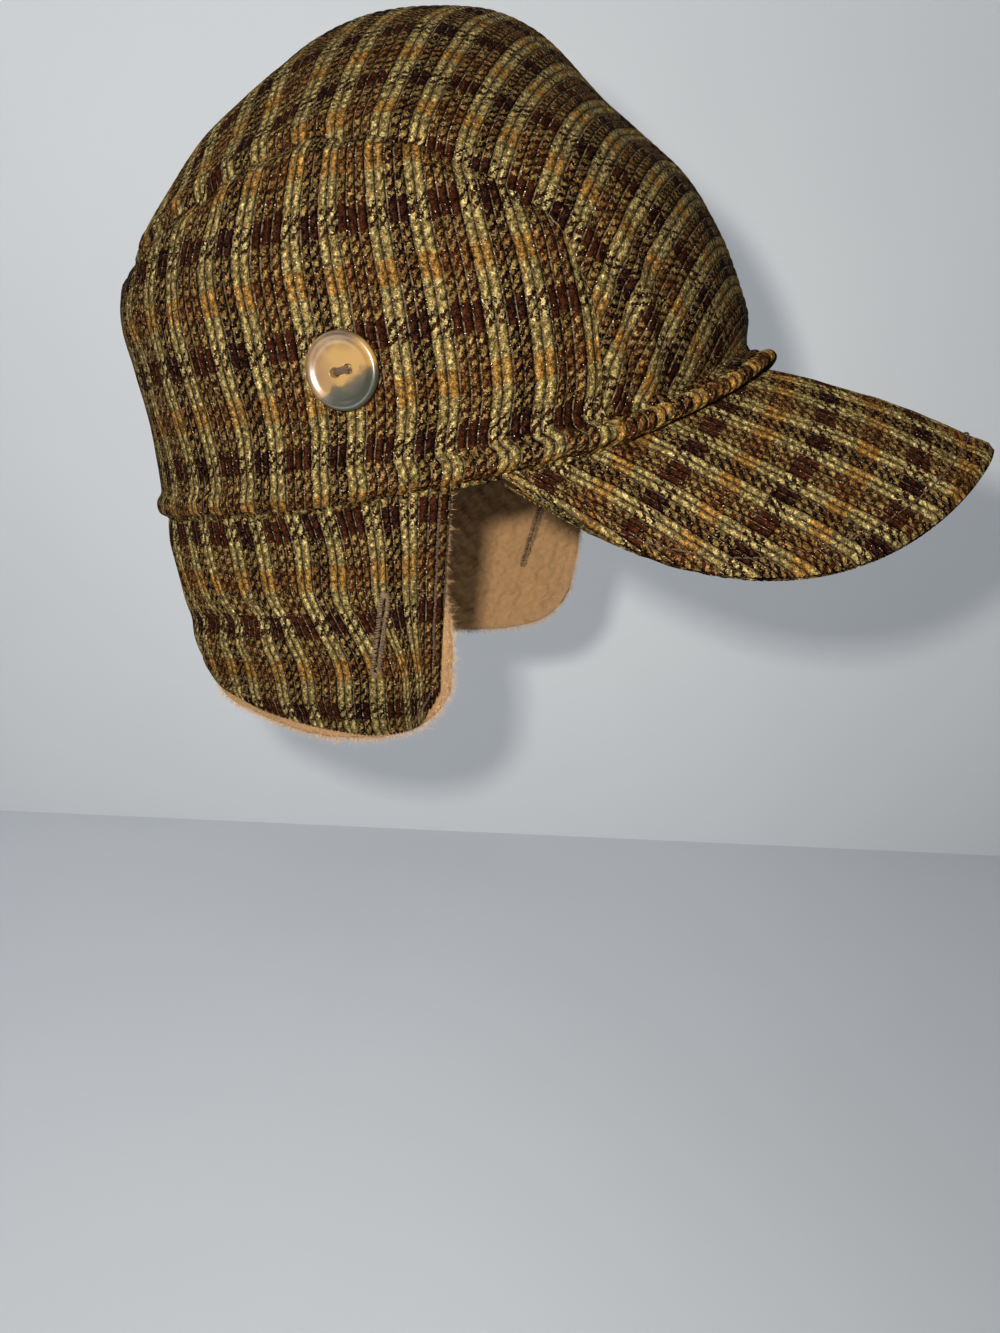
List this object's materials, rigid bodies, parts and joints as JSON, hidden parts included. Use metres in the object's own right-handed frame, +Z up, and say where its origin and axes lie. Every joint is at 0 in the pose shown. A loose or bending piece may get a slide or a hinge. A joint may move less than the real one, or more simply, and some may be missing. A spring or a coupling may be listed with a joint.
{
  "type": "ear-flap cap",
  "caption": "Corduroy cap with a stiff front peak and a fleece-lined ear flap that wraps round the back and buttons up over the crown.",
  "frame": {"origin": "centre of the head opening, on the axis of the head that wears the cap, level with the middle of the rim", "axes": "+Z up, -Y the way the wearer faces and the peak points, -X the wearer's right"},
  "size_m": [0.1718, 0.2805, 0.2169],
  "materials": {
    "corduroy": "ribbed plaid corduroy",
    "fleece": "short tan pile",
    "horn_plastic": "polished mottled horn"
  },
  "bodies": {
    "root": {"crown_side_band": "corduroy", "crown_top_panel": "corduroy", "peak_upper_cover": "corduroy", "peak_under_cover": "corduroy", "ear_flap_shell": "corduroy", "ear_flap_fleece": "fleece", "button_right": "horn_plastic", "button_left": "horn_plastic"}
  },
  "joints": []
}
